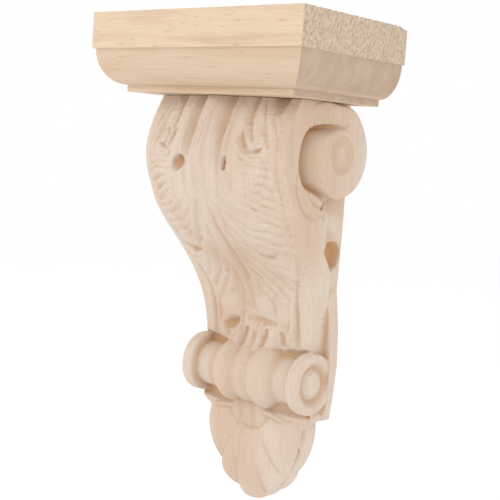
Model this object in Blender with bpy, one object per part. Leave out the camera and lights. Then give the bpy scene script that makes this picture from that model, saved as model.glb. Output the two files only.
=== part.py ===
# Carved wooden corbel: a moulded cap board over a scroll bracket with an acanthus
# front, side volutes, a turned roll and a shell pendant.
# Frame: origin on the flat back of the bracket, +X to the viewer's right,
# -Y out of the wall, +Z up. Metres.
import math

import bmesh
import bpy
import numpy as np
from mathutils import Matrix

MM = 0.001

# Driving sizes in millimetres
CAP_WIDTH = 172.0
CAP_DEPTH = 106.0
CAP_TOP = 120.0
CAP_HEIGHT = 49.5
FASCIA_HEIGHT = 23.3
FASCIA_STEP = 1.9
FILLET_HEIGHT = 4.3
OVOLO_INSET = 16.9
OVOLO_STEPS = 10
JOINT_GAP = 0.3

BRACKET_TOP = CAP_TOP - CAP_HEIGHT - JOINT_GAP
CORE_BOTTOM = -158.0
CORE_TOP = BRACKET_TOP + 4.0
BACK_ALLOWANCE = 6.0

VOLUTE_Y = -28.5
VOLUTE_Z = 38.3
VOLUTE_FACE = 64.0
BAND_FACE = 58.2
HOLLOW_DEPTH = 11.0
PIT_FACE = 46.0

ROLL_Y = -21.0
ROLL_Z = -111.2

SHELL_Z = -135.0
SHELL_HALF_ANGLE = 88.0
LOBE_ANGLES = (12.0, 32.0, 88.0)
VALLEY_DEPTH = 4.6
PLATE_DEPTH = 11.0
RIM_DEPTH = 9.0
RIM_ROUNDING = 2.4

CORE_STEP = 1.8
FUSE_SIZE = 0.9
KEPT_SHARE = 0.028

# Stations down the bracket: height, then the size at that height
CORNER_HALF = ((70.2, 58.0), (45, 58.4), (22, 58.8), (-2, 59.8), (-14, 58.8), (-31, 55.5),
               (-48, 51.0), (-67, 47.2), (-92, 45.6), (-130, 44.5), (-141, 40.0), (-158, 36.0))
CORNER_DEPTH = ((70.2, 65.5), (54, 74.0), (34, 79.0), (22, 76.8), (10, 71.0), (-2, 64.5), (-14, 55.0),
                (-23, 47.5), (-38, 37.0), (-58, 27.7), (-75, 23.4), (-92, 21.0), (-130, 19.5), (-158, 13.0))
MIDDLE_DEPTH = ((70.2, 80.5), (55, 89.0), (35, 95.0), (23, 93.9), (11, 89.2), (-1, 81.4), (-11, 74.2),
                (-21, 64.7), (-34, 50.1), (-44, 39.5), (-53, 33.5), (-62, 29.0), (-75, 25.5), (-92, 24.0),
                (-130, 26.0), (-145, 24.0), (-158, 20.0))
FRONT_POWER = ((70.2, 0.95), (35, 0.85), (15, 1.3), (0, 2.0), (-158, 2.2))
WALL_HALF = ((70.2, 47.5), (-5, 48.4), (-50, 47.3), (-76, 50.8), (-100, 52.0), (-123, 50.4), (-137, 48.8),
             (-139, 37.6), (-158, 36.0))
BRIDGE = ((-78, 0.0), (-86, 2.0), (-91, 5.0), (-97, 9.0), (-102, 9.5), (-112, 0.0))
BAND_EDGE = ((16, -33.0), (6, -37.0), (-4, -37.5), (-13, -35.5), (-23, -28.5), (-31, -21.0), (-39, -15.0),
             (-55, -11.0), (-90, -8.0), (-158, -6.0))
BAND_RUN = ((20, 4.0), (8, 14.0), (-10, 12.0), (-25, 7.0), (-40, 4.0), (-158, 4.0))


def smooth_line(stations):
    # A smooth curve through stations, as a function of its first value
    points = sorted(stations)
    xs = np.array([p[0] for p in points], float)
    ys = np.array([p[1] for p in points], float)
    slopes = np.gradient(ys, xs)

    def at(x):
        x = np.clip(x, xs[0], xs[-1])
        k = np.clip(np.searchsorted(xs, x) - 1, 0, len(xs) - 2)
        h = xs[k + 1] - xs[k]
        t = (x - xs[k]) / h
        rise = t * t * (3 - 2 * t)
        bend = t * (1 - t) * ((1 - t) * slopes[k] - t * slopes[k + 1]) * h
        return ys[k] + (ys[k + 1] - ys[k]) * rise + bend

    return at


def ease(value):
    t = np.clip(value, 0.0, 1.0)
    return t * t * (3 - 2 * t)


corner_half = smooth_line(CORNER_HALF)
corner_depth = smooth_line(CORNER_DEPTH)
middle_depth = smooth_line(MIDDLE_DEPTH)
front_power = smooth_line(FRONT_POWER)
bridge = smooth_line(BRIDGE)
band_edge = smooth_line(BAND_EDGE)
band_run = smooth_line(BAND_RUN)


def wall_half(z):
    stations = sorted(WALL_HALF)
    return np.interp(z, [s[0] for s in stations], [s[1] for s in stations])


def stroke(a, z, path, width, height, power=2.0):
    # Height of a rounded cut or ridge along a path of (a, z) points; both ends taper
    best = np.full(a.shape, 9.0)
    place = np.zeros(a.shape)
    lengths = [math.dist(p, q) for p, q in zip(path, path[1:])]
    whole = sum(lengths)
    run = 0.0
    for (p, q), length in zip(zip(path, path[1:]), lengths):
        dx, dz = q[0] - p[0], q[1] - p[1]
        t = np.clip(((a - p[0]) * dx + (z - p[1]) * dz) / (length * length), 0, 1)
        u = (run + t * length) / whole
        w = width[0] + (width[1] - width[0]) * u
        d = np.hypot(a - p[0] - t * dx, z - p[1] - t * dz) / w
        nearer = d < best
        best = np.where(nearer, d, best)
        place = np.where(nearer, u, place)
        run += length
    h = height[0] + (height[1] - height[0]) * place
    return h * np.clip(1 - np.minimum(best, 1.0) ** power, 0, 1)


# Ridges and cuts of the acanthus leaf on one half of the front: path of (distance
# from the middle, height), half widths and heights at its two ends
LEAF_RIDGES = (
    (((0, 72), (0, 15), (0, 2)), (4.6, 4.0), (2.2, 0.5)),
    (((17.6, 72), (17.2, 45), (17.8, 28), (20, 12)), (2.0, 1.8), (1.4, 1.0)),
    (((24.5, 72), (24, 45), (26, 18)), (4.6, 4.0), (1.6, 0.8)),
    (((34, 72), (40, 48), (43.5, 40)), (2.6, 2.2), (1.6, 1.0)),
    (((39, 69), (46, 50), (51, 37)), (2.6, 2.2), (1.8, 1.2)),
    (((24.8, 49), (28, 37), (40, 32.5)), (2.0, 1.8), (1.5, 1.2)),
    (((6.6, 8), (12.5, -2), (19, -14), (29, -28)), (2.2, 2.6), (1.7, 1.8)),
    (((6, -8), (11, -19), (19, -31), (29, -44)), (2.2, 2.6), (1.4, 1.6)),
    (((8, -29), (15, -42), (27, -58)), (2.2, 2.6), (1.2, 1.5)),
    (((24, -31), (43, -35)), (2.6, 2.4), (1.2, 1.2)),
    (((4, -65), (9, -71), (20, -74), (30, -77)), (2.2, 2.2), (1.2, 1.6)),
    (((33, -60), (32, -76), (25, -94)), (1.8, 3.0), (1.4, 2.4)),
)
LEAF_CUTS = (
    (((11.6, 76), (12, 40), (13, 14), (11.5, 2)), (6.4, 3.0), (-3.6, -0.8)),
    (((29.5, 74), (31.5, 50), (35, 43.5)), (3.4, 2.2), (-2.0, -1.2)),
    (((27.2, 51), (30.5, 39.5), (34.5, 36.4)), (2.2, 2.2), (-1.6, -1.4)),
    (((36.5, 58), (40, 50), (45.5, 40)), (1.8, 1.8), (-1.4, -1.0)),
    (((35.5, 36.6), (42.5, 38.6)), (1.8, 1.6), (-2.0, -1.8)),
    (((25, -28), (35, -29.5), (46, -27)), (2.4, 3.0), (-2.2, -2.4)),
    (((0, -6), (0, -46)), (2.4, 2.2), (-1.4, -1.2)),
    (((52.4, 40), (53, 6), (47.5, -30), (38.2, -53)), (1.6, 1.8), (-0.8, -1.8)),
    (((38.2, -53), (36, -66), (35.2, -96)), (1.8, 2.2), (-1.8, -1.8)),
    (((44, 80), (44.5, 70), (45.8, 62.5)), (6.4, 2.2), (-8.5, -3.0)),
    (((22.5, 24), (20.8, 28)), (3.4, 4.0), (-3.6, -6.0)),
    (((4, -76), (17, -77)), (3.2, 2.8), (-1.6, -1.0)),
)
COLLAR_RIDGES = (
    (((0, -132), (0, -147)), (3.0, 2.6), (3.2, 2.0)),
    (((10, -132), (9.6, -146)), (3.0, 2.4), (3.2, 2.0)),
    (((14, -135.5), (28, -139.5), (41, -145)), (2.4, 2.0), (2.6, 1.6)),
)
COLLAR_CUTS = (
    (((16, -141.5), (33, -146)), (2.6, 2.0), (-1.6, -1.0)),
)
COLLAR_EDGE = -149.5
COLLAR_FALL = 7.0
# Hollows above and below the thin ends of the roll
COVES = (
    (((20, -94), (46, -94)), (3.6, 5.0), (-2.5, -3.0)),
    (((16, -131), (46, -130)), (3.6, 5.4), (-3.0, -3.5)),
)
SERRATION_HEIGHTS = (24.0, 17.5, 11.0, 4.0, -3.5, -10.0, -17.0)
FINGERS = ((0.0, -78.5), (6.0, -78.0), (15.0, -78.0), (26.0, -81.0))


def leaf_relief(x, z):
    a = np.abs(x)
    ridge = np.zeros(a.shape)
    for path, width, height in LEAF_RIDGES + COLLAR_RIDGES:
        ridge = np.maximum(ridge, stroke(a, z, path, width, height))
    cut = np.zeros(a.shape)
    for path, width, height in LEAF_CUTS + COLLAR_CUTS:
        cut = np.minimum(cut, stroke(a, z, path, width, height))
    for path, width, height in COVES:
        cut = np.minimum(cut, stroke(a, z, path, width, height, 3.0))
    for height in SERRATION_HEIGHTS:
        path = ((36, height - 1), (45, height), (54, height - 3))
        cut = np.minimum(cut, stroke(a, z, path, (2.0, 2.6), (-1.0, -1.6)))
    finger = np.zeros(a.shape)
    for at, tip in FINGERS:
        path = ((at * 1.05, tip), (at, -84), (at * 0.92, -95))
        finger = np.maximum(finger, stroke(a, z, path, (1.4, 3.6), (1.2, 2.4)))
    lobe = stroke(a, z, ((15, -52), (18, -68)), (9, 10.5), (0.6, 1.6))
    below_collar = ease((COLLAR_EDGE - z) / 2.4 + 0.5)
    return ridge + cut + finger + lobe - COLLAR_FALL * below_collar


def front_depth(x, z):
    edge = corner_depth(z)
    share = np.clip(np.abs(x) / corner_half(z), 0, 1)
    plain = edge + (middle_depth(z) - edge) * (1 - share ** front_power(z))
    return plain + bridge(z) * (1 - ease((np.abs(x) - 17) / 6))


# Volute: angle 0 points to the wall, 90 up, 180 to the front
VOLUTE_OUTER = ((0, 28.4), (45, 29.0), (72, 31.0), (95, 31.4), (120, 36.0), (180, 37.6), (210, 38.2),
                (232, 35.0), (250, 30.5), (270, 28.0), (315, 27.6), (360, 28.4))
BOSS_RADIUS = ((74, 20.0), (84, 16.4), (107, 16.2), (131, 17.2), (154, 19.6), (190, 20.5), (211, 22.5),
               (229, 24.7), (250, 26.8), (265, 27.6))
HOLLOW_RADIUS = ((74, 20.4), (84, 17.2), (91, 18.4), (115, 20.6), (137, 26.0), (150, 31.2), (160, 33.9),
                 (179, 36.1), (206, 37.4), (216, 36.3), (224, 33.8), (238, 30.4), (252, 28.8), (265, 28.2))
volute_outer = smooth_line(VOLUTE_OUTER)
boss_radius = smooth_line(BOSS_RADIUS)
hollow_radius = smooth_line(HOLLOW_RADIUS)

# Ridges and cuts of the leaf below the volute and of the teardrop: path of (depth, height)
SIDE_CUTS = (
    (((-9.0, -25), (-9.6, -30), (-12.0, -39)), (8.6, 1.6), (-9.0, -3.0)),
    (((-35, 8.6), (-29.0, 6.0)), (3.4, 5.0), (-2.2, -3.2)),
    (((-64.5, 12), (-59.5, 3.5), (-52, -1.0), (-43, -2.4)), (1.8, 1.6), (-1.3, -1.0)),
)
SIDE_RIDGES = (
    (((-58, 14.5), (-54.5, 8), (-47, 3.2), (-38, 1.6), (-29, 0.4), (-23.6, 4.0)), (2.8, 1.8), (2.0, 1.6)),
    (((-53, 13), (-47, 9.5), (-40, 9.0)), (3.4, 2.4), (2.2, 1.8)),
)


def side_half(y, z):
    # Half width of the bracket's side at depth y (negative) and height z
    radius = np.hypot(y - VOLUTE_Y, z - VOLUTE_Z)
    angle = np.degrees(np.arctan2(z - VOLUTE_Z, y - VOLUTE_Y)) % 360
    reach = np.where((angle > 76) & (angle < 264), hollow_radius(angle), 24.0)
    front = corner_half(z)
    level = front + (wall_half(z) - front) * ease((y - band_edge(z)) / band_run(z) + 0.5)
    ridge = np.zeros(y.shape)
    for path, width, height in SIDE_RIDGES:
        ridge = np.maximum(ridge, stroke(y, z, path, width, height))
    for path, width, height in SIDE_CUTS:
        ridge = ridge + stroke(y, z, path, width, height, 2.4)
    level = level + ridge
    return level + (PIT_FACE - level) * ease((reach - radius) / 1.6 + 0.8)


def new_object(name, bm, material=None):
    mesh = bpy.data.meshes.new(name)
    bm.to_mesh(mesh)
    bm.free()
    obj = bpy.data.objects.new(name, mesh)
    bpy.context.scene.collection.objects.link(obj)
    if material:
        mesh.materials.append(material)
    return obj


def wood(name, colour, roughness):
    material = bpy.data.materials.new(name)
    material.use_nodes = True
    shader = material.node_tree.nodes["Principled BSDF"]
    shader.inputs["Base Color"].default_value = (*colour, 1.0)
    shader.inputs["Roughness"].default_value = roughness
    shader.inputs["Metallic"].default_value = 0.0
    return material


def outward(bm):
    bmesh.ops.recalc_face_normals(bm, faces=bm.faces)
    if bm.calc_volume(signed=True) < 0:
        bmesh.ops.reverse_faces(bm, faces=bm.faces)


def close_ends(bm):
    loose = [e for e in bm.edges if e.is_boundary]
    bmesh.ops.holes_fill(bm, edges=loose, sides=0)
    outward(bm)


def turned(line, centre, axis, steps):
    # A closed line of revolution as a new mesh
    bm = bmesh.new()
    verts = [bm.verts.new(place) for place in line]
    edges = [bm.edges.new(pair) for pair in zip(verts, verts[1:])]
    line_parts = verts + edges
    bmesh.ops.spin(bm, geom=line_parts, cent=centre, axis=axis, angle=math.tau, steps=steps, use_merge=True)
    bmesh.ops.remove_doubles(bm, verts=bm.verts, dist=0.000001)
    return bm


def build_core():
    # A tube wrapped round left side, front and right side, moved to the bracket's form
    rows = round((CORE_TOP - CORE_BOTTOM) / CORE_STEP)
    side_columns = 32
    front_columns = 66
    columns = 2 * side_columns + front_columns + 1
    heights = np.linspace(CORE_BOTTOM, CORE_TOP, rows + 1)
    bm = turned([(1, 0, height) for height in heights], (0, 0, 0), (0, 0, 1), columns)
    spots = np.array([v.co for v in bm.verts])
    z = spots[:, 2]
    column = np.round(np.arctan2(spots[:, 1], spots[:, 0]) / math.tau * columns) % columns
    across = (column - side_columns) / front_columns * 2 - 1
    side = np.where(across < 0, -1.0, 1.0)
    on_front = np.abs(across) <= 1.0001
    back_share = np.clip(np.abs(across) - 1, 0, None) * front_columns / 2 / side_columns
    half = corner_half(z)
    front_x = np.clip(across, -1, 1) * half
    margin = ease((half - np.abs(front_x)) / 3.0)
    front_y = -(front_depth(front_x, z) + leaf_relief(front_x, z) * margin)
    side_y = -corner_depth(z) + back_share * (corner_depth(z) + BACK_ALLOWANCE)
    side_x = side * side_half(side_y, z)
    xs = np.where(on_front, front_x, side_x)
    ys = np.where(on_front, front_y, side_y)
    for vert, place in zip(bm.verts, zip(xs, ys, z)):
        vert.co = [value * MM for value in place]
    close_ends(bm)
    return bm


def volute_face(radius, angle):
    # Distance of the volute's surface from the middle plane
    boss = boss_radius(angle)
    hollow = hollow_radius(angle)
    open_share = ease((angle - 76) / 8) * ease((264 - angle) / 14)
    band = VOLUTE_FACE - (VOLUTE_FACE - BAND_FACE) * ease((angle - 60) / 80) * ease((300 - angle) / 40)
    t = np.clip((radius - boss) / np.maximum(hollow - boss, 0.5), 0, 1)
    inner = np.clip(t / 0.78, 0, 1)
    scoop = np.where(t < 0.78, 0.35 * inner + 0.65 * ease(inner), ease((1 - t) / 0.22))
    floor_depth = HOLLOW_DEPTH * ease((angle - 66) / 90) * ease((268 - angle) / 75)
    level = VOLUTE_FACE + (band - VOLUTE_FACE) * ease(t * 1.4 - 0.4) - floor_depth * scoop * open_share
    ring = 0.6 * np.clip(1 - ((radius - 13.8) / 2.4) ** 2, 0, 1)
    dish = -1.4 * np.clip(1 - (radius / 11.8) ** 4, 0, 1)
    return level + ring + dish


def build_volute(side):
    front = [(0, share, 0) for share in np.linspace(0, 1, 18)]
    back = [(-1, share, 0) for share in np.linspace(1, 0, 4)]
    bm = turned(front + back, (0, 0, 0), (1, 0, 0), 52)
    for vert in bm.verts:
        share = math.hypot(vert.co.y, vert.co.z)
        angle = math.degrees(math.atan2(vert.co.z, vert.co.y)) % 360
        radius = share * float(volute_outer(angle))
        free_edge = 1 - float(ease((angle - 95) / 20) * ease((265 - angle) / 20))
        fall = 2.2 * max(0.0, share - 0.93) / 0.07 * free_edge
        top = float(volute_face(np.array(radius), np.array(angle))) - fall
        level = PIT_FACE - 4.0 if vert.co.x < -0.5 else top
        y = VOLUTE_Y + radius * math.cos(math.radians(angle))
        z = VOLUTE_Z + radius * math.sin(math.radians(angle))
        vert.co = (side * level * MM, y * MM, z * MM)
    outward(bm)
    return bm


# Roll profile: distance from the middle, then radius
ROLL_PROFILE = ((0, 20.0), (3.0, 19.4), (6.3, 17.8), (9, 20.0), (14, 22.2), (17, 21.6), (21.5, 17.6),
                (26, 15.8), (34, 15.4), (40.6, 14.7), (41, 19.4), (43, 20.5), (48, 20.4), (49.6, 19.0))
ROLL_FACE = ((50.0, 15.4), (49.0, 13.6), (46.8, 11.6), (46.6, 9.8), (48.6, 8.6), (49.6, 5.0))


def build_roll():
    half = [*ROLL_PROFILE, *ROLL_FACE, (49.8, 0.0)]
    line = [(-x, r) for x, r in reversed(half)] + half[1:]
    spots = [(x * MM, (ROLL_Y - r) * MM, ROLL_Z * MM) for x, r in line]
    bm = turned(spots, (0, ROLL_Y * MM, ROLL_Z * MM), (1, 0, 0), 28)
    outward(bm)
    return bm


SHELL_RADIUS = ((0, 65.0), (8, 64.4), (12.4, 62.4), (17.6, 59.4), (23, 56.8), (31.8, 52.8), (38, 50.2),
                (44, 48.0), (66, 42.0), (80, 39.6), (88, 39.0))
SHELL_MIDDLE = ((0, 20.0), (11, 21.5), (18, 24.6), (27, 25.8), (42, 25.4), (54, 22.5), (62, 18.8),
                (66, 17.0))
shell_radius = smooth_line(SHELL_RADIUS)
shell_middle = smooth_line(SHELL_MIDDLE)


def shell_relief(angle):
    # Rounded ribs between the lobe angles
    rib = 0.0
    first = -LOBE_ANGLES[0]
    for last in LOBE_ANGLES:
        middle, half = (first + last) / 2, (last - first) / 2
        if abs(angle - middle) <= half:
            rib = (1 - (abs(angle - middle) / half) ** 2.4) ** 0.7
        first = last
    return rib


def build_shell(lobed):
    # A fan of rings about the shell's root: the flat plate on the wall, or the lobes before it
    around = 72
    rings = 26
    rim_share = 0.86
    bm = bmesh.new()
    bmesh.ops.create_grid(bm, x_segments=around, y_segments=rings, size=0.5)
    lift = bmesh.ops.extrude_face_region(bm, geom=bm.faces[:])
    floor = {v for v in lift["geom"] if isinstance(v, bmesh.types.BMVert)}
    for vert in bm.verts:
        angle = vert.co.x * 2 * SHELL_HALF_ANGLE
        share = 0.06 + 0.94 * (vert.co.y + 0.5)
        rib = shell_relief(abs(angle))
        radius = float(shell_radius(abs(angle))) * (1 - 0.032 * (1 - rib) * share ** 3)
        bend = max(0.0, share - rim_share) / (1 - rim_share) * math.pi
        flat = min(share, rim_share) / rim_share
        side_fall = 2.5 * float(ease(abs(angle) / 75)) * float(ease(share))
        front = float(shell_middle(flat * radius)) - side_fall + (rib - 1) * VALLEY_DEPTH * share ** 1.8
        front -= RIM_DEPTH * (1 - math.cos(bend)) / 2
        reach = flat * (radius - RIM_ROUNDING) + RIM_ROUNDING * math.sin(bend)
        if not lobed:
            front, reach = PLATE_DEPTH, radius * share
        y = BACK_ALLOWANCE if vert in floor else -max(front, 4.0)
        x = reach * math.sin(math.radians(angle))
        z = SHELL_Z - reach * math.cos(math.radians(angle))
        vert.co = (x * MM, y * MM, z * MM)
    outward(bm)
    return bm


def build_blank():
    # The block the bracket is cut from: flat back on the wall plane, flat top
    width, bottom, front = 150.0, -210.0, -120.0
    bm = bmesh.new()
    bmesh.ops.create_cube(bm, size=1.0)
    size = Matrix.Diagonal((width * MM, -front * MM, (BRACKET_TOP - bottom) * MM, 1.0))
    place = Matrix.Translation((0, front / 2 * MM, (BRACKET_TOP + bottom) / 2 * MM))
    bmesh.ops.transform(bm, matrix=place @ size, verts=bm.verts)
    return bm


def build_bracket(material):
    # All carvings in one mesh, fused, thinned and cut flat at the back and the top
    carvings = bmesh.new()
    forms = [build_core(), build_volute(1), build_volute(-1), build_roll()]
    forms += [build_shell(False), build_shell(True)]
    for bm in forms:
        mesh = bpy.data.meshes.new("carving")
        bm.to_mesh(mesh)
        bm.free()
        carvings.from_mesh(mesh)
        bpy.data.meshes.remove(mesh)
    bracket = new_object("scroll_bracket", carvings, material)
    fuse = bracket.modifiers.new("fuse", "REMESH")
    fuse.mode = "VOXEL"
    fuse.voxel_size = FUSE_SIZE * MM
    thin = bracket.modifiers.new("thin", "DECIMATE")
    thin.ratio = KEPT_SHARE
    blank = new_object("blank", build_blank())
    blank.hide_render = True
    blank.display_type = "WIRE"
    trim = bracket.modifiers.new("trim", "BOOLEAN")
    trim.operation = "INTERSECT"
    trim.object = blank
    return bracket


def build_cap(material):
    # Moulding profile from the top edge down: inset from the fascia, height below the top
    below = CAP_HEIGHT - FILLET_HEIGHT
    curve = [(0.0, 0.0), (0.0, FASCIA_HEIGHT), (FASCIA_STEP, FASCIA_HEIGHT)]
    for k in range(1, OVOLO_STEPS + 1):
        angle = math.radians(90 * k / OVOLO_STEPS)
        inset = FASCIA_STEP + (OVOLO_INSET - FASCIA_STEP) * (1 - math.cos(angle))
        curve.append((inset, FASCIA_HEIGHT + (below - FASCIA_HEIGHT) * math.sin(angle)))
    curve += [(OVOLO_INSET, CAP_HEIGHT)]
    reach = [1 + 0.01 * k for k in range(len(curve))]
    diagonal = math.sqrt(0.5)
    line = [(0, 0, 0), *((diagonal * r, diagonal * r, -r) for r in reach), (0, 0, -9)]
    bm = turned(line, (0, 0, 0), (0, 0, 1), 4)
    for vert in bm.verts:
        at_centre = abs(vert.co.x) < 0.1
        station = (0 if vert.co.z > -1 else -1) if at_centre else round((-vert.co.z - 1) / 0.01)
        inset, down = curve[station]
        half = CAP_WIDTH / 2 - inset
        x = 0.0 if at_centre else math.copysign(half, vert.co.x)
        y = inset - CAP_DEPTH if vert.co.y < -0.1 else 0.0
        y = -CAP_DEPTH / 2 if at_centre else y
        vert.co = (x * MM, y * MM, (CAP_TOP - down) * MM)
    outward(bm)
    return new_object("cap", bm, material)


def main():
    for obj in list(bpy.data.objects):
        bpy.data.objects.remove(obj, do_unlink=True)
    build_cap(wood("cap_wood", (0.80, 0.62, 0.44), 0.6))
    build_bracket(wood("bracket_wood", (0.82, 0.69, 0.55), 0.62))


main()
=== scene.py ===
import math

import bmesh
import bpy
import numpy as np
from mathutils import Matrix, Vector


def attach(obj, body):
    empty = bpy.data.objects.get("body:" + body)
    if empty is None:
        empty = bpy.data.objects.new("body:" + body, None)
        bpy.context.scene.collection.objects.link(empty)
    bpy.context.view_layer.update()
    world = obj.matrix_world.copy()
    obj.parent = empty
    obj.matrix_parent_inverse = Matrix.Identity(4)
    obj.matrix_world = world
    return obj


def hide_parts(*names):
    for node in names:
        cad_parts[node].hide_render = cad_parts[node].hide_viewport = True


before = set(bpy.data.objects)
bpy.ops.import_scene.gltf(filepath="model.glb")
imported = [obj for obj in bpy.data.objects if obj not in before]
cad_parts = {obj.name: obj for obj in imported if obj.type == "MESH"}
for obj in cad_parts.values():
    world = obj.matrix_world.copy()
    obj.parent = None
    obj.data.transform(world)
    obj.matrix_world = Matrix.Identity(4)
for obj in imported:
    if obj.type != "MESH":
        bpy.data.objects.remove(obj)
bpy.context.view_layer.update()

mm = 0.001


# small helpers

def smoothLine(stations):  # smooth curve through (value, size) stations
    points = sorted(stations)
    xs = np.array([p[0] for p in points], float)
    ys = np.array([p[1] for p in points], float)
    slopes = np.gradient(ys, xs)

    def at(x):
        x = np.clip(x, xs[0], xs[-1])
        k = np.clip(np.searchsorted(xs, x) - 1, 0, len(xs) - 2)
        h = xs[k + 1] - xs[k]
        t = (x - xs[k]) / h
        rise = t * t * (3 - 2 * t)
        bend = t * (1 - t) * ((1 - t) * slopes[k] - t * slopes[k + 1]) * h
        return ys[k] + (ys[k + 1] - ys[k]) * rise + bend

    return at


def ease(value):  # 0 below 0, 1 above 1, with a soft start and end
    t = np.clip(value, 0.0, 1.0)
    return t * t * (3 - 2 * t)


def bent(path, steps=5):  # the path as a smooth curve with more points
    if len(path) < 3:
        return [tuple(p) for p in path]
    pts = np.array([path[0], *path, path[-1]], float)
    out = []
    for k in range(1, len(pts) - 2):
        p0, p1, p2, p3 = pts[k - 1:k + 3]
        for t in np.arange(steps) / steps:
            out.append(0.5 * ((2 * p1) + (p2 - p0) * t + (2 * p0 - 5 * p1 + 4 * p2 - p3) * t * t
                              + (3 * p1 - p0 - 3 * p2 + p3) * t ** 3))
    out.append(pts[-2])
    return [tuple(p) for p in out]


def strokeFrame(u, v, path):  # distance to the path, its side, and the share of the way along
    path = bent(path)
    best = np.full(u.shape, 1e6)
    place = np.zeros(u.shape)
    side = np.ones(u.shape)
    lengths = [math.dist(p, q) for p, q in zip(path, path[1:])]
    whole = sum(lengths)
    run = 0.0
    for (p, q), length in zip(zip(path, path[1:]), lengths):
        dx, dz = q[0] - p[0], q[1] - p[1]
        t = np.clip(((u - p[0]) * dx + (v - p[1]) * dz) / (length * length), 0, 1)
        d = np.hypot(u - p[0] - t * dx, v - p[1] - t * dz)
        nearer = d < best
        best = np.where(nearer, d, best)
        place = np.where(nearer, (run + t * length) / whole, place)
        side = np.where(nearer, np.sign(dx * (v - p[1]) - dz * (u - p[0])), side)
        run += length
    return best, side, place


def spread(place, sizes):  # a size that changes evenly along a path
    return np.interp(place, np.linspace(0, 1, len(sizes)), sizes)


def stroke(u, v, path, width, height, power=2.0, soft=1.0):  # rounded ridge, or a cut below zero
    d, side, place = strokeFrame(u, v, path)
    across = np.minimum(d / spread(place, width), 1.0)
    return spread(place, height) * np.clip(1 - across ** power, 0, 1) ** soft


def bothSides(items):  # strokes of the right half with their mirror images
    return [*items, *(([(-x, z) for x, z in path], *sizes) for path, *sizes in items)]


def window(angle, opens, closes):  # 0 to 1 and back: (angle, run) where it rises, and where it falls
    return ease((angle - opens[0]) / opens[1]) * ease((closes[0] - angle) / closes[1])


def added(name, data):  # an object at the origin
    item = bpy.data.objects.new(name, data)
    bpy.context.scene.collection.objects.link(item)
    return item


def newPiece(name, mesh, material):  # the same with one material
    piece = added(name, mesh)
    mesh.materials.clear()
    mesh.materials.append(material)
    return piece


def bmToMesh(bm, name):  # the bmesh is used up
    mesh = bpy.data.meshes.new(name)
    bm.to_mesh(mesh)
    bm.free()
    return mesh


def modified(mesh, kind, **settings):  # the mesh after one modifier; the given mesh is used up
    helper = added("helper", mesh)
    modifier = helper.modifiers.new(kind, kind)
    for name, value in settings.items():
        setattr(modifier, name, value)
    depsgraph = bpy.context.evaluated_depsgraph_get()
    result = bpy.data.meshes.new_from_object(helper.evaluated_get(depsgraph))
    bpy.data.objects.remove(helper, do_unlink=True)
    bpy.data.meshes.remove(mesh)
    return result


def readValues(items, name, width, kind=float):  # one value of every item, as rows
    values = np.empty(len(items) * width, kind)
    items.foreach_get(name, values)
    return values.reshape(-1, width)


def closed(bm):  # every open edge filled with one face
    bmesh.ops.holes_fill(bm, edges=[e for e in bm.edges if e.is_boundary], sides=0)


def outward(bm):  # faces turned to look outwards
    bmesh.ops.recalc_face_normals(bm, faces=bm.faces)
    if bm.calc_volume(signed=True) < 0:
        bmesh.ops.reverse_faces(bm, faces=bm.faces)


def turned(line, centre, axis, steps):  # a line spun all the way round
    bm = bmesh.new()
    verts = [bm.verts.new(place) for place in line]
    edges = [bm.edges.new(pair) for pair in zip(verts, verts[1:])]
    bmesh.ops.spin(bm, geom=verts + edges, cent=centre, axis=axis, angle=math.tau, steps=steps,
                   use_merge=True)
    bmesh.ops.remove_doubles(bm, verts=bm.verts, dist=0.000001)
    return bm


def moved(bm, place):  # every vertex to place(x, y, z), worked out for all at once
    spots = np.array([v.co for v in bm.verts])
    xs, ys, zs = place(spots[:, 0], spots[:, 1], spots[:, 2])
    for vert, x, y, z in zip(bm.verts, xs, ys, zs):
        vert.co = (x * mm, y * mm, z * mm)
    outward(bm)
    return bm


# the cap: moulded board on three sides, flat back

cap = {
    "width": 172.0, "depth": 106.0, "top": 120.0, "height": 49.5,
    "fascia": 23.3, "step": 1.9, "fillet": 4.3, "inset": 16.9,
    "pitch": 1.2,   # spacing of the mesh along the moulding
    "arris": 0.7,                     # rounding of the sanded edges
    "sawnMargin": 2.5,                # width of the edge where the torn end grain starts
    "sawRipple": 0.2,                 # roughness of the torn end grain
    "edgeChips": 0.3,                 # depth of the chips along the fascia's edges
    "chips": (                        # single chips: place in depth, distance below the top, depth
        (-105.6, 4.6, 1.0), (-105.8, 18.5, 0.8), (-104.5, 12.0, 0.4), (-61.0, 0.6, 0.6), (-24.0, 22.6, 0.6),
    ),
    "chipSpread": 2.2,
    "backWear": 1.5,                  # the far top corner is rounded off by this much
    "backWearReach": (9.0, 4.5, 60.0),  # before the wall, below the top, from the middle
}


def capProfile():  # (inset, depth below the top) down the moulding
    r = cap["arris"]
    fascia, step, inset, height = cap["fascia"], cap["step"], cap["inset"], cap["height"]
    low = height - cap["fillet"]
    points = [(3.0, 0.0), (1.5, 0.0)]
    points += [(r - r * math.sin(a), r - r * math.cos(a)) for a in np.linspace(0, math.pi / 2, 5)]
    points += [(0.0, d) for d in np.linspace(1.6, fascia - 1.2, 16)]
    points += [(0.0, fascia - 0.5), (0.15, fascia - 0.12), (0.5, fascia)]
    points += [(step - 0.2, fascia), (step, fascia + 0.3)]
    for a in np.linspace(0, math.pi / 2, 25)[1:]:
        points.append((step + (inset - step) * (1 - math.cos(a)), fascia + (low - fascia) * math.sin(a)))
    points += [(inset + 0.3, low + 0.15), (inset + 0.3, low + 0.6)]
    points += [(inset + 0.3, d) for d in np.linspace(low + 1.2, height - 0.6, 4)]
    points += [(inset + 0.45, height - 0.15), (inset + 0.9, height), (inset + 3.0, height)]
    return points


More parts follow.
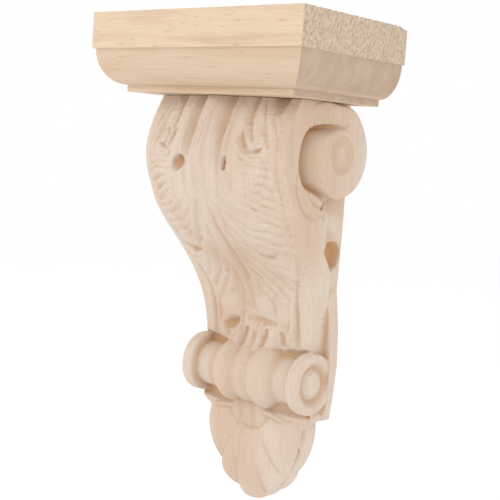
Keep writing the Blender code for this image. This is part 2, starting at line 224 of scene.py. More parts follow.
def sawnEnds(x, y, z):  # how far the torn end grain stands out, less its chips
    down = cap["top"] - z
    out = cap["width"] / 2 - np.abs(x)
    sawn = ease((cap["sawnMargin"] - out) / 2.0) * ease(cap["fascia"] + 0.9 - down)
    wave = (np.sin(y * 0.9 + 1.1 * np.sin(z * 0.7)) + np.sin(y * 2.3 + z * 1.9) * 0.6
            + np.sin(z * 3.7 - y * 1.3) * 0.5)
    edge = ease(1 - np.minimum(down, np.abs(cap["fascia"] - down)) / 1.6)
    chip = np.clip(np.sin(y * 0.37 + 2.0) * np.sin(y * 0.83 + z) + 0.1, 0, 1)
    push = sawn * (cap["sawRipple"] * wave * 0.5 - cap["edgeChips"] * edge * chip)
    for chipY, chipDown, chipDeep in cap["chips"]:
        reach = (y - chipY) ** 2 + (down - chipDown) ** 2
        push -= chipDeep * np.exp(-reach / cap["chipSpread"]) * ease(1.5 - out) * (x > 0)
    return np.where(y < -0.02, push, 0)


def buildCap():  # the moulding led round left side, front and right side, then roughened
    profile = capProfile()
    side = round(cap["depth"] / cap["pitch"])
    front = round(cap["width"] / cap["pitch"])
    columns = 2 * side + front + 1
    rowGap = 0.01  # rows and columns of this plain tube only tell each vertex its place
    line = [(1.0 + 0.001 * k, 0, -rowGap * k) for k in range(len(profile))]
    bm = turned(line, (0, 0, 0), (0, 0, 1), columns)
    insets = np.array([p[0] for p in profile])
    downs = np.array([p[1] for p in profile])

    def place(x, y, z):
        row = np.round(-z / rowGap).astype(int)
        column = np.round(np.arctan2(y, x) / math.tau * columns) % columns
        inset, down = insets[row], downs[row]
        along = np.clip((column - side) / front * 2 - 1, -1, 1)
        back = np.where(column < side, 1 - column / side, np.clip((column - side - front) / side, 0, 1))
        return along * (cap["width"] / 2 - inset), (inset - cap["depth"]) * (1 - back), cap["top"] - down

    bm = moved(bm, place)
    closed(bm)
    bmesh.ops.triangulate(bm, faces=[f for f in bm.faces if len(f.verts) > 4])
    outward(bm)
    spots = np.array([v.co for v in bm.verts]) / mm
    normals = np.array([v.normal for v in bm.verts])
    x, y, z = spots.T
    fromWall, fromTop, fromMiddle = cap["backWearReach"]
    worn = ease((y + fromWall) / 7) * ease(1 - (cap["top"] - z) / fromTop) * ease((x - fromMiddle) / 20)
    spots += normals * sawnEnds(x, y, z)[:, None]
    spots[:, 2] -= cap["backWear"] * worn
    spots[:, 1] = np.minimum(spots[:, 1], 0)
    for vert, spot in zip(bm.verts, spots):
        vert.co = [value * mm for value in spot]
    mesh = bmToMesh(bm, "capBoard")
    mesh.shade_smooth()
    mesh.set_sharp_from_angle(angle=math.radians(42))
    return mesh


# the bracket: stations down its height, sizes in millimetres

bracket = {
    "top": 70.2, "bottom": -160.0,
    "backAllowance": 5.0, "topAllowance": 3.0,   # cut off again once the carvings are fused
    "pitch": 0.62,             # spacing of the carved surface's points
    "sideRun": 80.0, "frontRun": 118.0,          # lengths that the points are spread over
    "arris": 2.5,                                # the carving dies out this far from the corners
    "voxel": 0.56,             # grain of the fused skin
    "softening": 0.4,
    "triangles": 192000,
    # all by height: half width and depth at the front corners, depth in the middle of the front
    "cornerHalf": (
        (74, 58.0), (45, 58.4), (22, 58.8), (-2, 59.8), (-14, 58.8), (-31, 55.5), (-48, 51.0), (-67, 47.2),
        (-92, 45.6), (-128, 46.0), (-137, 46.6), (-141.5, 41.0), (-160, 36.0),
    ),
    "cornerDepth": (
        (74, 63.5), (54, 74.0), (34, 79.0), (22, 76.8), (10, 71.0), (-2, 64.5), (-14, 55.0), (-23, 47.5),
        (-38, 37.0), (-58, 27.7), (-75, 23.4), (-92, 21.0), (-130, 19.5), (-160, 13.0),
    ),
    "middleDepth": (
        (74, 78.0), (55, 88.0), (35, 94.0), (23, 92.9), (11, 88.4), (-1, 80.6), (-11, 73.4), (-21, 63.9),
        (-34, 49.6), (-44, 39.2), (-53, 33.3), (-62, 29.0), (-75, 25.5), (-92, 24.0), (-130, 26.0),
        (-145, 24.0), (-160, 20.0),
    ),
    # 1 where the front rises to a ridge in the middle, 2 where it is round
    "tent": ((74, 0.95), (35, 0.85), (15, 1.3), (0, 2.0), (-160, 2.2)),
    "wallHalf": (
        (74, 47.5), (-5, 48.4), (-50, 47.3), (-76, 50.8), (-100, 52.0), (-123, 50.4), (-137.4, 48.8),
        (-138.6, 38.6), (-160, 36.0),
    ),
    # swell of the middle where it runs into the roll
    "bridge": ((-78, 0.0), (-86, 2.0), (-91, 5.0), (-97, 9.0), (-102, 9.5), (-112, 0.0)),
    # depth where the side changes from the width at the front to the width at the wall, and its run
    "bandEdge": (
        (16, -33.0), (6, -37.0), (-4, -37.5), (-13, -35.5), (-23, -28.5), (-31, -21.0), (-39, -15.0),
        (-55, -11.0), (-90, -8.0), (-160, -6.0),
    ),
    "bandRun": ((20, 4.0), (8, 14.0), (-10, 12.0), (-25, 7.0), (-40, 4.0), (-160, 4.0)),
}
cornerHalf, cornerDepth, middleDepth, tent, bridge, bandEdge, bandRun = (
    smoothLine(bracket[key])
    for key in ("cornerHalf", "cornerDepth", "middleDepth", "tent", "bridge", "bandEdge", "bandRun")
)


def wallHalf(z):  # straight between its stations, for the sharp shoulder over the shell
    stations = sorted(bracket["wallHalf"])
    return np.interp(z, [s[0] for s in stations], [s[1] for s in stations])


# the leaf on the front: strokes with a path of (place across, height), then half widths and heights
# along it; heights below zero are cuts

leaf = {
    "stem": (
        (((0, 76), (0, 40), (0, 16), (0, -2)), (5.6, 5.2, 4.4), (0.8, 0.8, 0.4)),
        (((-2.6, 76), (-2.7, 40), (-3.2, 20), (-4.6, 0)), (1.5, 1.6, 1.6, 1.4), (2.2, 2.3, 1.8, 0.8)),
        (((2.9, 76), (3.2, 40), (3.2, 18), (2.4, 4)), (1.6, 1.6, 1.4), (2.2, 2.3, 1.0)),
        (((-2.2, 2), (-2.6, -14), (-2.8, -34), (-2.0, -60)), (2.2, 2.6, 2.8, 2.6), (0.4, 1.4, 1.4, 1.0)),
        (((7.4, 2), (8.2, -12), (8.4, -30), (6.8, -56)), (1.8, 2.6, 2.8, 2.6), (0.4, 1.6, 1.7, 1.0)),
        (((-6.6, 8), (-12.5, -2), (-19, -14), (-29, -28)), (1.8, 2.4, 2.6, 2.0), (0.5, 1.9, 1.9, 1.0)),
        (((-6.0, -8), (-11, -19), (-19, -31), (-29, -44)), (1.6, 2.4, 2.6, 2.2), (0.5, 1.5, 1.6, 1.0)),
        (((12.0, 6), (14.0, -4), (20, -14.0), (28.5, -26)), (1.8, 2.4, 2.4, 2.0), (0.4, 1.2, 1.3, 0.9)),
        (((17.9, 76), (17.3, 56), (17.1, 40), (17.6, 28), (20.0, 12)), (1.3, 1.5, 1.6, 1.5, 1.1),
         (0.9, 1.2, 1.6, 1.7, 0.4)),
        (((-17.9, 76), (-17.9, 56), (-17.7, 42), (-17.4, 35)), (1.3, 1.5, 1.5, 1.1), (0.8, 1.2, 1.4, 0.8)),
        (((21.8, 28), (21.4, 20), (21.2, 13)), (1.0, 1.4, 1.0), (0.6, 1.4, 0.5)),
    ),
    "ribs": (
        (((24.5, 76), (24.0, 58), (24.0, 42), (25.2, 30), (26.5, 16)), (4.8, 5.0, 4.6, 4.0),
         (1.2, 1.6, 1.5, 0.4)),
        (((33.5, 74), (36, 60), (40, 48), (43.5, 40)), (2.4, 2.8, 2.2), (1.2, 1.8, 0.9)),
        (((38.5, 70), (42.5, 58), (47, 48), (51.0, 36)), (2.4, 2.8, 2.2), (1.4, 2.0, 1.0)),
        (((46, 60), (49.5, 54), (52, 47)), (1.5, 1.9, 1.3), (1.1, 1.4, 0.7)),
        (((24.6, 50), (26.2, 42), (29.5, 35.5), (35.5, 32.0), (41, 32.5)), (1.4, 2.0, 2.0, 1.6),
         (0.6, 1.8, 1.8, 0.8)),
        (((29.6, 52), (31.5, 45), (35.5, 41.0)), (1.4, 1.8, 1.4), (0.6, 1.4, 0.8)),
    ),
    "barbs": (  # fine leaflets from the stem out to the leaf's edge, on both halves
        ((36, 29.5), (43, 29.0), (50, 27)),
        ((34, 25), (42, 24.3), (50, 22.0)),
        ((34, 20.8), (42, 19.8), (50.5, 17.2)),
        ((33, 16.2), (41, 14.6), (50.5, 11.6)),
        ((30, 12.5), (39, 9.2), (49.5, 5.5)),
        ((26, 7), (37, 3.0), (49.5, -1.0)),
        ((19, 5), (32, 0.0), (50.0, -6.5)),
        ((16, 1.5), (29, -6.5), (50.5, -11.5)),
        ((14, -2.5), (27, -12.0), (50.0, -17.0)),
        ((15, -7), (27, -18.0), (49.0, -22.5)),
    ),
    "barbHalf": (1.7, 2.4, 2.5), "barbProud": (0.2, 1.9, 2.3),
    "lowerBarbs": (
        ((10, -12), (18, -24), (28, -36), (37, -46)),
        ((9, -20), (17, -33), (27, -45), (34, -54)),
        ((8, -29), (14, -40), (23, -52), (29, -60)),
        ((7.6, -38), (12, -48), (18, -57)),
        ((24, -31), (33, -33.5), (43, -34)),
        ((27, -35), (35, -39), (42, -41)),
    ),
    "lowerHalf": (1.8, 3.0, 2.6), "lowerProud": (0.2, 1.7, 1.5),
    "flutes": (  # hollows on both halves
        (((11.6, 82), (11.8, 56), (12.0, 40), (12.6, 26), (13.0, 14), (11.5, 2)),
         (6.2, 6.4, 6.2, 5.2, 3.8, 2.4), (-3.0, -3.4, -3.6, -2.8, -1.5, -0.3)),
        (((29.6, 74), (29.4, 60), (31.5, 50), (35, 43.5)), (3.6, 3.4, 2.8, 2.0), (-2.0, -2.0, -1.9, -1.0)),
        (((27.2, 51), (27.8, 45), (30.5, 39.5), (34.5, 36.4)), (1.6, 2.6, 2.6, 1.8),
         (-0.7, -1.9, -2.0, -1.1)),
        (((36.5, 58), (40, 50), (45.5, 40)), (1.6, 2.0, 1.6), (-0.6, -1.4, -0.6)),
        (((35.5, 36.6), (39, 37.2), (42.5, 38.6)), (1.4, 2.0, 1.2), (-1.2, -2.6, -1.0)),
        (((31, 5), (36, 1.5), (40, 3.5)), (1.6, 2.6, 1.4), (-0.3, -0.9, -0.3)),
        (((14.5, -19.0), (18, -21.0), (21, -24)), (1.0, 1.6, 1.0), (-0.5, -1.3, -0.5)),
        (((11, -40), (14.5, -43.5), (20, -46)), (1.0, 1.6, 1.0), (-0.5, -1.3, -0.5)),
        (((38, -45), (41, -47.5), (45, -47.6)), (1.2, 1.6, 1.0), (-0.4, -1.0, -0.3)),
    ),
    "singles": (  # hollows that the two halves don't share
        (((2.4, 4), (2.8, -8), (3.2, -26), (2.6, -46)), (1.4, 2.4, 2.8, 2.2), (-0.3, -1.5, -1.8, -0.6)),
        (((25, -27.6), (32.5, -28.3), (38.0, -25.6)), (1.6, 2.2, 1.4), (-0.8, -2.2, -1.2)),
        (((-25, -28.5), (-35, -29.5), (-46, -27.5)), (2.0, 3.6, 2.8), (-1.2, -3.6, -1.8)),
        (((-41, 50), (-36.5, 48), (-35.6, 42), (-39.5, 36)), (1.2, 1.9, 2.2, 1.2),
         (-0.5, -1.4, -1.6, -0.8)),
        (((-34, 80), (-33, 71), (-31, 65)), (7.0, 5.0, 2.0), (-2.6, -2.4, -0.4)),
    ),
    "holes": (  # pocket under the cap, and the eyes of the leaf
        (((45.0, 82), (45.6, 70), (46.6, 61.5)), (8.4, 6.6, 2.8), (-5.6, -4.8, -1.2)),
        (((-25.5, 21.5), (-21.8, 26.0), (-18.8, 28.2)), (2.2, 4.6, 4.8), (-1.0, -4.4, -6.4)),
        (((18.9, 33), (18.7, 29), (18.4, 25)), (0.5, 1.2, 0.9), (-2.0, -5.5, -4.0)),
    ),
    # groove between the leaf and the smooth edge
    "border": (
        (52.0, 50), (52.4, 28), (53.0, 6), (52.0, -12), (47.5, -30), (42.2, -43), (38.2, -53), (36.0, -66),
        (35.2, -86), (36.0, -96),
    ),
    "borderHalf": (1.6, 1.8, 2.2, 3.2), "borderDeep": (-0.5, -0.6, -0.7, -1.0, -1.5, -1.3),
    "sway": 0.9,         # how far the leaflets stray from their paths
    "wornShare": 0.5,    # the right half's leaflets are shallower in places
    "ripple": 0.16,      # marks of the gouge across the leaflets
}

# the neck under the leaf: lobes, hollows and the small fingers that run into the roll

neck = {
    "lobes": (
        (((-14, -50), (-17, -60), (-19, -68)), (9.0, 10.5), (0.6, 1.8)),
        (((6, -52), (8.5, -60), (9.5, -65)), (6.0, 8.0), (0.4, 1.5)),
        (((24, -54), (26, -62), (27, -69)), (6.5, 7.0), (0.4, 1.3)),
    ),
    "lipRun": 7.0,
    "lips": (  # the surface drops below each of these lines
        (((-30, -79), (-22, -78), (-14, -74), (-8, -66)), (-0.5, -1.5, -1.5, -0.4)),
        (((-6, -68), (2, -70.6), (11, -72.4), (21, -73)), (-0.5, -1.2, -1.2, -0.2)),
    ),
    "hollows": (
        (((-25.5, -82.5), (-20.5, -80.5), (-16, -78)), (3.4, 5.0, 4.4), (-1.6, -3.4, -2.8)),
        (((-4, -75.0), (6, -76.0), (17, -76.5)), (3.6, 4.4, 3.2), (-1.0, -1.9, -0.8)),
        (((1.6, -77.5), (2.2, -79.5)), (1.3, 1.3), (-1.6, -1.4)),
        (((-6, -82), (-6.6, -92)), (2.0, 2.8), (-1.8, -1.7)),
        (((10.4, -81), (10.4, -91)), (2.0, 2.8), (-1.8, -1.5)),
        (((23, -82), (26, -89)), (2.4, 3.4), (-1.4, -2.0)),
    ),
    "fingers": (
        (((-28.5, -79), (-26.5, -87), (-20.5, -94)), (1.8, 3.4, 4.4), (1.0, 2.4, 1.4)),
        (((-12, -74), (-12.6, -82), (-12, -93)), (1.6, 3.0, 3.8), (1.0, 2.5, 1.4)),
        (((-1.6, -79), (-1.8, -86), (-2, -93)), (1.8, 3.2, 3.8), (0.6, 1.6, 0.8)),
        (((5.4, -77), (5.8, -84), (6, -92)), (1.4, 2.3, 3.0), (1.0, 2.4, 0.8)),
        (((15.4, -79), (16.4, -86), (15, -93)), (2.4, 4.4, 4.8), (0.5, 1.5, 0.6)),
        (((33, -60), (32.4, -74), (29, -84), (24, -94)), (1.6, 2.2, 3.0, 3.6), (0.6, 1.8, 2.0, 1.0)),
        (((-33, -62), (-32.4, -74), (-31, -84), (-27, -93)), (1.4, 1.8, 2.2, 3.0), (0.5, 1.4, 1.8, 1.4)),
    ),
    "coves": (  # deep hollows behind the ends of the roll
        (((20, -94), (29, -94.5), (46, -94)), (2.6, 4.6, 5.0), (-1.4, -2.8, -3.2)),
        (((16, -131.5), (27, -131), (46, -130)), (2.8, 4.8, 5.4), (-1.6, -3.2, -3.6)),
    ),
}

# the collar between roll and shell

collar = {
    "ridges": (
        (((-10.8, -134), (-11.2, -140), (-9.6, -145)), (2.8, 4.2, 2.8), (0.8, 2.2, 0.8)),
        (((-0.8, -134), (-0.8, -141), (-0.4, -146)), (2.8, 4.2, 2.8), (0.8, 2.2, 0.8)),
        (((9.2, -134), (9.6, -140), (8.6, -145)), (2.8, 4.0, 2.8), (0.8, 2.2, 0.8)),
        (((14, -135.5), (20, -136.5), (28, -139.5), (35, -142.5), (41, -145)), (1.8, 2.4, 2.2, 1.8),
         (1.6, 2.8, 2.6, 1.4)),
        (((-15, -136), (-22, -137), (-32, -139.5), (-40, -143)), (1.8, 2.4, 2.2, 1.6),
         (1.4, 2.4, 2.2, 1.2)),
        (((14, -145), (20, -147.0), (29, -148)), (1.8, 2.2, 1.6), (0.8, 1.4, 0.6)),
    ),
    "hollows": (
        (((16, -141), (24, -143), (33, -146.5)), (2.2, 2.8, 1.8), (-1.0, -1.8, -0.8)),
        (((-16, -141.5), (-24, -143), (-33, -145.5)), (2.0, 2.6, 1.8), (-0.8, -1.4, -0.6)),
    ),
    "edge": (
        (-45, -143), (-30, -146.5), (-20, -148), (-13, -147), (-8, -149.5), (-3, -148), (1, -151),
        (4, -148.5), (8, -152.5), (12, -152), (15, -149.5), (20, -151.5), (27, -150.5), (36, -148),
        (45, -145),
    ),
    "fall": 7.0,   # the shell starts this far behind the collar's edge
}
collarEdge = smoothLine(collar["edge"])


def highest(x, z, items, power=2.0, soft=1.0):  # the tallest of the ridges at each point
    level = np.zeros(x.shape)
    for path, width, height in items:
        level = np.maximum(level, stroke(x, z, path, width, height, power, soft))
    return level


def deepest(x, z, items, power=2.0, soft=1.6):  # the deepest of the cuts at each point
    level = np.zeros(x.shape)
    for path, width, height in items:
        level = np.minimum(level, stroke(x, z, path, width, height, power, soft))
    return level


def frontHollows(x, z):  # everything on the front that is cut in below the plain form
    cut = deepest(x, z, bothSides(leaf["flutes"]) + list(leaf["singles"]))
    cut = np.minimum(cut, deepest(x, z, leaf["holes"], 3.0, 1.0))
    border = stroke(np.abs(x), z, leaf["border"], leaf["borderHalf"], leaf["borderDeep"], 2.0, 1.4)
    cut = np.minimum(cut, border)
    cut = np.minimum(cut, deepest(x, z, bothSides(neck["coves"]), 3.0, 1.0))
    cut += deepest(x, z, neck["hollows"], 2.0, 1.3)
    for path, drop in neck["lips"]:
        d, side, place = strokeFrame(x, z, path)
        inLine = ease(place * 8) * ease((1 - place) * 8)
        below = np.where(side < 0, 1, 0) * np.clip(1 - d / neck["lipRun"], 0, 1) * ease(d / 2.2)
        cut += spread(place, drop) * below * inLine
    return cut + deepest(x, z, collar["hollows"], 2.0, 1.3)


def frontRidges(x, z):  # everything on the front that stands out from the plain form
    barbs = [(path, leaf["barbHalf"], leaf["barbProud"]) for path in leaf["barbs"]]
    barbs += [(path, leaf["lowerHalf"], leaf["lowerProud"]) for path in leaf["lowerBarbs"]]
    sway = leaf["sway"] * (np.sin(x * 0.13 + z * 0.19) + 0.5 * np.sin(x * 0.34 - z * 0.27 + 1.3))
    fade = 0.85 + 0.3 * np.sin(x * 0.21 + 1.7 * np.sin(z * 0.19)) * np.sin(z * 0.31 + x * 0.11)
    patches = ease(0.6 + 0.7 * np.sin(x * 0.29 - z * 0.12) * np.sin(z * 0.41 + 0.8))
    worn = 1 - leaf["wornShare"] * ease(x / 12) * patches
    raised = highest(x, z + sway, bothSides(barbs), 1.6) * fade * worn
    ribs, stem = bothSides(leaf["ribs"]), leaf["stem"]
    for strokes, soft in ((ribs, 1.3), (stem, 1.2), (neck["fingers"], 1.0), (collar["ridges"], 1.0)):
        raised = np.maximum(raised, highest(x, z, strokes, 2.0, soft))
    wave = np.sin((z + 0.22 * np.abs(x) + 1.1 * np.sin(x / 4.1)) * 2.35)
    wave += 0.6 * np.sin(z * 1.43 - x * 0.31)
    ripple = leaf["ripple"] * wave * ease((np.abs(x) - 21) / 8) * ease((z + 62) / 14)
    return raised + ripple + highest(x, z, neck["lobes"], 2.0)


def frontRelief(x, z):  # how far the carving stands out from the front's plain form
    below = ease((collarEdge(x) - z) / 1.6 + 0.5)
    return frontRidges(x, z) + frontHollows(x, z) - collar["fall"] * below


def frontDepth(x, z):  # the front's plain form, before the wall
    edge = cornerDepth(z)
    share = np.clip(np.abs(x) / cornerHalf(z), 0, 1)
    plain = edge + (middleDepth(z) - edge) * (1 - share ** tent(z))
    return plain + bridge(z) * (1 - ease((np.abs(x) - 17) / 6))


# the sides: deep round of the volute, leaf infill below it, hollow near the wall

sides = {
    "pit": 46.5,   # half width inside the volute's hollow
    "cuts": (      # path of (depth place, height), half widths, heights, roundness
        (((-9.0, -25.5), (-9.6, -30), (-12.0, -39)), (8.8, 7.6, 0.8), (-9.0, -9.0, -2.5), 2.4),
        (((-15, -9), (-12, -17)), (3.0, 6.0), (-0.6, -2.2), 2.0),
        (((-35, 8.6), (-29.0, 6.0)), (3.4, 5.0), (-2.0, -3.0), 2.0),
        (((-67, 24), (-64.5, 12), (-59.5, 3.5), (-52, -1.0), (-43, -2.4)), (1.3, 1.8, 1.8, 1.2),
         (-0.7, -1.3, -1.3, -0.5), 1.6),
        (((-17, -2), (-15.9, -5.6), (-16.2, -10), (-13, -15)), (0.8, 0.9, 0.8), (-0.4, -0.7, -0.5), 1.6),
        (((-22.3, -2.3), (-22.4, -2.4)), (2.6, 2.6), (-1.0, -1.0), 2.0),
    ),
    "ridges": (
        (((-58, 14.5), (-54.5, 8), (-47, 3.2), (-38, 1.6), (-29, 0.4), (-23.6, 4.0), (-23.5, 10)),
         (2.2, 2.8, 2.6, 2.2, 1.4), (1.4, 2.0, 2.0, 1.8, 1.2), 1.8),
        (((-53, 13), (-47, 9.5), (-42, 7.5), (-38, 10.5)), (2.6, 3.4, 2.2), (1.6, 2.4, 1.6), 1.8),
        (((-22.3, -2.3), (-22.4, -2.4)), (1.2, 1.2), (1.3, 1.3), 2.0),
    ),
}

volute = {
    # "face" and "band" are half widths; "outer", "boss" and "hollow" are radii by angle in degrees, with
    # 0 to the wall, 90 up and 180 to the front
    "y": -28.5, "z": 38.3, "face": 64.0, "band": 58.4,
    "outer": (
        (0, 28.4), (45, 29.0), (72, 31.0), (95, 31.4), (120, 36.0), (180, 38.2), (207, 38.8), (232, 35.4),
        (250, 30.5), (270, 28.0), (315, 27.6), (360, 28.4),
    ),
    "boss": (
        (74, 20.0), (84, 16.4), (107, 16.2), (131, 17.2), (154, 19.6), (190, 20.5), (211, 22.5),
        (229, 24.7), (250, 26.8), (265, 27.6),
    ),
    "hollow": (
        (74, 20.4), (84, 17.2), (91, 18.4), (115, 20.6), (137, 26.0), (150, 31.2), (160, 33.9), (179, 36.1),
        (206, 37.4), (216, 36.3), (224, 33.8), (238, 30.4), (252, 28.8), (265, 28.2),
    ),
    "deep": 11.0, "wallFoot": (0.78, 0.28),     # the hollow's depth, and where its outer wall starts
    "eyeRing": 13.8, "ringHalf": 2.2, "ringProud": 0.6,
    "eyeDish": 1.0, "dishRadius": 11.8, "button": 3.4, "buttonProud": 0.25,
    # angles where each of these starts and ends, with their runs
    "opening": ((76, 8), (264, 14)), "bandStep": ((60, 80), (300, 40)), "scoop": ((66, 90), (268, 75)),
    "joined": ((95, 20), (265, 20)),            # here the volute runs into the bracket's side
    "steps": 300, "rings": 60,
}
voluteBoss = smoothLine(volute["boss"])
voluteHollow = smoothLine(volute["hollow"])

roll = {
    "y": -21.0, "z": -111.2, "steps": 150,
    # (distance from the middle, radius): the turned profile, then the dished end
    "profile": (
        (0, 20.2), (2.2, 20.1), (3.8, 19.6), (5.2, 19.0), (6.3, 18.9), (7.5, 19.3), (9, 20.3), (11, 21.5),
        (14, 22.1), (17, 21.6), (19.5, 20.0), (22, 18.0), (25, 16.5), (28, 15.8), (34, 15.4), (38, 14.9),
        (40.4, 14.7), (41.0, 16.4), (41.2, 19.4), (42.0, 20.2), (44, 20.5), (48, 20.4), (49.4, 19.9),
        (50, 19.0),
    ),
    "face": (
        (50.1, 17.0), (50.0, 15.6), (49.2, 14.4), (47.6, 12.6), (46.7, 11.0), (46.8, 9.8), (48.0, 8.8),
        (49.2, 7.4), (49.8, 5.0), (50.0, 2.0),
    ),
}

shell = {
    # "lobes" are the angles between the lobes; "radius" goes by angle, "middle" is the depth by radius
    "z": -135.0, "halfAngle": 88.0, "lobes": (12.0, 32.0, 88.0), "valley": 4.6, "notch": 0.032,
    "plate": 11.0, "rimDeep": 9.0, "rimRound": 2.4, "flatShare": 0.86,
    "around": 220, "rings": 96,
    "radius": (
        (0, 65.0), (8, 64.4), (12.4, 62.4), (17.6, 59.4), (23, 56.8), (31.8, 52.8), (38, 50.2), (44, 48.0),
        (66, 42.0), (80, 39.6), (88, 39.0),
    ),
    "middle": (
        (0, 20.0), (11, 21.5), (18, 24.6), (27, 25.8), (42, 25.4), (54, 22.5), (62, 18.8), (66, 17.0),
    ),
}


def sideCuts(y, z):  # hollows in the side
    cut = np.zeros(y.shape)
    for path, width, height, power in sides["cuts"]:
        cut = np.minimum(cut, stroke(y, z, path, width, height, power))
    return cut


def sideRelief(y, z):  # the leaf below the volute, and the hollows
    level = np.zeros(y.shape)
    for path, width, height, power in sides["ridges"]:
        level = np.maximum(level, stroke(y, z, path, width, height, power))
    return level * ease((19 - z) / 4.0) + sideCuts(y, z)


def insideHollow(y, z, rest):  # how far inside the volute's hollow, or inside the radius rest beside it
    radius = np.hypot(y - volute["y"], z - volute["z"])
    angle = np.degrees(np.arctan2(z - volute["z"], y - volute["y"])) % 360
    first, last = (edge[0] for edge in volute["opening"])
    return np.where((angle > first) & (angle < last), voluteHollow(angle), rest) - radius


def sideHalf(y, z):  # half width of the bracket's side
    front = cornerHalf(z)
    level = front + (wallHalf(z) - front) * ease((y - bandEdge(z)) / bandRun(z) + 0.5) + sideRelief(y, z)
    return level + (sides["pit"] - level) * ease(insideHollow(y, z, 24.0) / 1.6 + 0.4)


def buildCore():  # a tube wrapped round left side, front and right side
    top = bracket["top"] + bracket["topAllowance"]
    rows = round((top - bracket["bottom"]) / bracket["pitch"])
    sideColumns = round(bracket["sideRun"] / bracket["pitch"])
    frontColumns = round(bracket["frontRun"] / bracket["pitch"])
    columns = 2 * sideColumns + frontColumns + 1
    line = [(1, 0, z) for z in np.linspace(bracket["bottom"], top, rows + 1)]
    bm = turned(line, (0, 0, 0), (0, 0, 1), columns)

    def place(x, y, z):
        column = np.round(np.arctan2(y, x) / math.tau * columns) % columns
        across = (column - sideColumns) / frontColumns * 2 - 1
        backShare = np.clip(np.abs(across) - 1, 0, None) * frontColumns / 2 / sideColumns
        half = cornerHalf(z)
        frontX = np.clip(across, -1, 1) * half
        margin = ease((half - np.abs(frontX)) / bracket["arris"])
        frontY = -(frontDepth(frontX, z) + frontRelief(frontX, z) * margin)
        sideY = -cornerDepth(z) + backShare * (cornerDepth(z) + bracket["backAllowance"])
        sideX = np.sign(across) * sideHalf(sideY, z)
        onFront = np.abs(across) <= 1.0001
        return np.where(onFront, frontX, sideX), np.where(onFront, frontY, sideY), z

    bm = moved(bm, place)
    closed(bm)
    outward(bm)
    return bmToMesh(bm, "core")


def voluteFace(radius, angle):  # half width of the volute's face at a radius and an angle
    boss, hollow = voluteBoss(angle), voluteHollow(angle)
    t = np.clip((radius - boss) / np.maximum(hollow - boss, 0.5), 0, 1)
    foot, earlier = volute["wallFoot"]
    wallFoot = foot - earlier * ease((155 - angle) / 40)
    inner = np.clip(t / wallFoot, 0, 1)
    scoop = np.where(t < wallFoot, 0.35 * inner + 0.65 * ease(inner), ease((1 - t) / (1 - wallFoot)))
    depth = volute["deep"] * window(angle, *volute["scoop"]) * window(angle, *volute["opening"])
    step = (volute["face"] - volute["band"]) * window(angle, *volute["bandStep"]) * ease(t * 1.4 - 0.4)
    fromRing = (radius - volute["eyeRing"]) / volute["ringHalf"]
    ring = volute["ringProud"] * np.clip(1 - fromRing ** 2, 0, 1)
    dish = volute["eyeDish"] * np.clip(1 - (radius / volute["dishRadius"]) ** 4, 0, 1)
    button = volute["buttonProud"] * np.clip(1 - (radius / volute["button"]) ** 2, 0, 1)
    return volute["face"] - step - depth * scoop + ring - dish + button


def buildVolute(side):  # 1 for the right one, -1 for the left one
    front = [(0, share, 0) for share in np.linspace(0, 1, volute["rings"])]
    back = [(-1, share, 0) for share in np.linspace(1, 0, 8)]
    bm = turned(front + back, (0, 0, 0), (1, 0, 0), volute["steps"])
    outer = smoothLine(volute["outer"])

    def place(x, y, z):
        share = np.hypot(y, z)
        angle = np.degrees(np.arctan2(z, y)) % 360
        radius = share * outer(angle)
        freeEdge = 1 - window(angle, *volute["joined"])
        over = np.clip((share - 0.93) / 0.07, 0, 1)
        fall = 2.2 * (1 - np.sqrt(1 - over * over * 0.98)) * freeEdge
        level = np.where(x < -0.5, sides["pit"] - 4.0, voluteFace(radius, angle) - fall)
        turn = np.radians(angle)
        return side * level, volute["y"] + radius * np.cos(turn), volute["z"] + radius * np.sin(turn)

    return bmToMesh(moved(bm, place), "volute")


def buildRoll():  # the profile spun round its axis, with points every millimetre or so
    half = [*roll["profile"], *roll["face"], (50.0, 0.0)]
    line = [(-x, r) for x, r in reversed(half)] + half[1:]
    dense = []
    for p, q in zip(line, line[1:]):
        steps = max(1, round(math.dist(p, q)))
        rise = q[0] - p[0], q[1] - p[1]
        dense += [(p[0] + rise[0] * k / steps, p[1] + rise[1] * k / steps) for k in range(steps)]
    dense.append(line[-1])
    spots = [(x, roll["y"] - r, roll["z"]) for x, r in dense]
    bm = turned(spots, (0, roll["y"], roll["z"]), (1, 0, 0), roll["steps"])
    return bmToMesh(moved(bm, lambda x, y, z: (x, y, z)), "roll")


